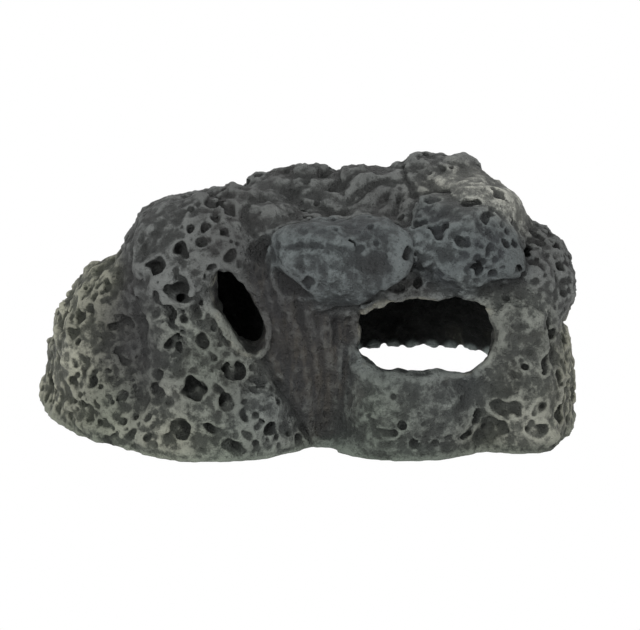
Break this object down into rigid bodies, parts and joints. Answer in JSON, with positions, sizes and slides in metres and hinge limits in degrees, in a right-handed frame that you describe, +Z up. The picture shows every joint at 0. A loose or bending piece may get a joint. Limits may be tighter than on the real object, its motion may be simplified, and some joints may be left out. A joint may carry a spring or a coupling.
{
  "type": "aquarium cave ornament",
  "caption": "Hollow lava-rock cave ornament with an oval front window, a slanting side entrance, an arched opening at the rear and an open bottom.",
  "frame": {"origin": "middle of the footprint, on the ground", "axes": "+Z up, +X to the viewer's right along the longest side, -Y towards the viewer, where the window is"},
  "size_m": [0.2413, 0.106, 0.112],
  "materials": {
    "olive_resin": "painted cast resin, semi-matte, dark grey with olive and beige dry-brushing",
    "grey_resin": "painted cast resin, semi-matte, charcoal with grey dry-brushing",
    "dark_resin": "painted cast resin, semi-matte, charcoal with a brownish tint in the hollows",
    "streaked_resin": "painted cast resin, semi-matte, charcoal with brown and beige streaks",
    "blue_grey_resin": "painted cast resin, semi-matte, dark grey with pale blue-grey dry-brushing",
    "pale_resin": "painted cast resin, semi-matte, pale olive-grey"
  },
  "bodies": {
    "root": {"brow_boulder": "blue_grey_resin", "cave_roof": "dark_resin", "centre_pillar": "streaked_resin", "cheek_boulder": "blue_grey_resin", "crest_stone_left": "dark_resin", "crest_stone_middle": "dark_resin", "crest_stone_right": "dark_resin", "left_buttress": "grey_resin", "left_outcrop": "olive_resin", "left_shoulder": "dark_resin", "rear_left_wall": "dark_resin", "rear_right_wall": "dark_resin", "right_end": "olive_resin", "right_knob": "dark_resin", "right_pier": "grey_resin", "saddle_stone": "dark_resin", "top_slab": "pale_resin", "window_sill": "blue_grey_resin"}
  },
  "joints": []
}
